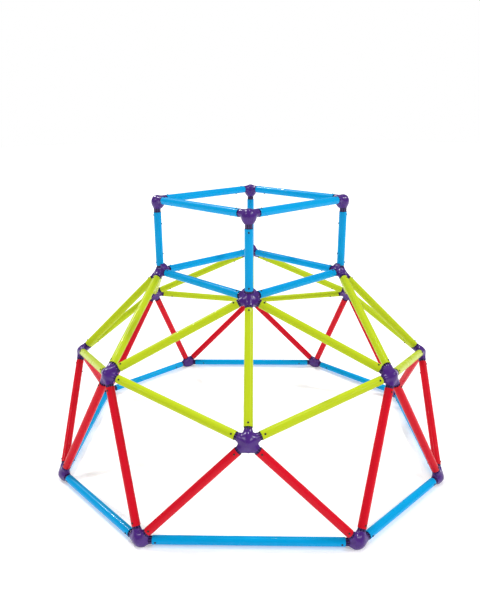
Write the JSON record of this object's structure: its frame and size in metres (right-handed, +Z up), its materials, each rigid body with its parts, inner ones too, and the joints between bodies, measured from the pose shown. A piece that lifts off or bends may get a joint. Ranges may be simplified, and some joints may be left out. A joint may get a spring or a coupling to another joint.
{
  "type": "dome climber",
  "caption": "Children's climbing dome of straight screwed tubes and moulded hubs, with an open square tube frame on top to hold on to.",
  "frame": {"origin": "on the ground under the middle of the dome", "axes": "+Z is up; -Y is the front, one of the four equal sides of the box frame on top, and +X is the right side seen from the front"},
  "size_m": [1.7446, 1.7446, 1.173],
  "materials": {
    "blue_tube": "gloss powder coat",
    "green_tube": "gloss powder coat",
    "red_tube": "gloss powder coat",
    "hub_plastic": "semi-gloss moulded",
    "screw_steel": "black coated"
  },
  "bodies": {
    "root": {"base_hub_back_left": "hub_plastic", "base_hub_back_right": "hub_plastic", "base_hub_front_left": "hub_plastic", "base_hub_front_right": "hub_plastic", "base_hub_left_back": "hub_plastic", "base_hub_left_front": "hub_plastic", "base_hub_right_back": "hub_plastic", "base_hub_right_front": "hub_plastic", "base_tube_long_back_left": "blue_tube", "base_tube_long_back_right": "blue_tube", "base_tube_long_front_left": "blue_tube", "base_tube_long_front_right": "blue_tube", "base_tube_short_back": "blue_tube", "base_tube_short_front": "blue_tube", "base_tube_short_left": "blue_tube", "base_tube_short_right": "blue_tube", "box_hub_low_back_left": "hub_plastic", "box_hub_low_back_right": "hub_plastic", "box_hub_low_front_left": "hub_plastic", "box_hub_low_front_right": "hub_plastic", "box_hub_top_back_left": "hub_plastic", "box_hub_top_back_right": "hub_plastic", "box_hub_top_front_left": "hub_plastic", "box_hub_top_front_right": "hub_plastic", "box_posts": "blue_tube", "box_rail_low_back": "blue_tube", "box_rail_low_front": "blue_tube", "box_rail_low_left": "blue_tube", "box_rail_low_right": "blue_tube", "box_rail_top_back": "blue_tube", "box_rail_top_front": "blue_tube", "box_rail_top_left": "blue_tube", "box_rail_top_right": "blue_tube", "braces_back_left": "green_tube", "braces_back_right": "green_tube", "braces_front_left": "green_tube", "braces_front_right": "green_tube", "leg_pair_back": "red_tube", "leg_pair_back_left": "red_tube", "leg_pair_back_right": "red_tube", "leg_pair_front": "red_tube", "leg_pair_front_left": "red_tube", "leg_pair_front_right": "red_tube", "leg_pair_left": "red_tube", "leg_pair_right": "red_tube", "ring_hub_high_back": "hub_plastic", "ring_hub_high_front": "hub_plastic", "ring_hub_high_left": "hub_plastic", "ring_hub_high_right": "hub_plastic", "ring_hub_low_back_left": "hub_plastic", "ring_hub_low_back_right": "hub_plastic", "ring_hub_low_front_left": "hub_plastic", "ring_hub_low_front_right": "hub_plastic", "ring_tubes_back": "green_tube", "ring_tubes_front": "green_tube", "ring_tubes_left": "green_tube", "ring_tubes_right": "green_tube", "screws_base_and_legs": "screw_steel", "screws_box_frame": "screw_steel", "screws_ring_and_braces": "screw_steel"}
  },
  "joints": []
}
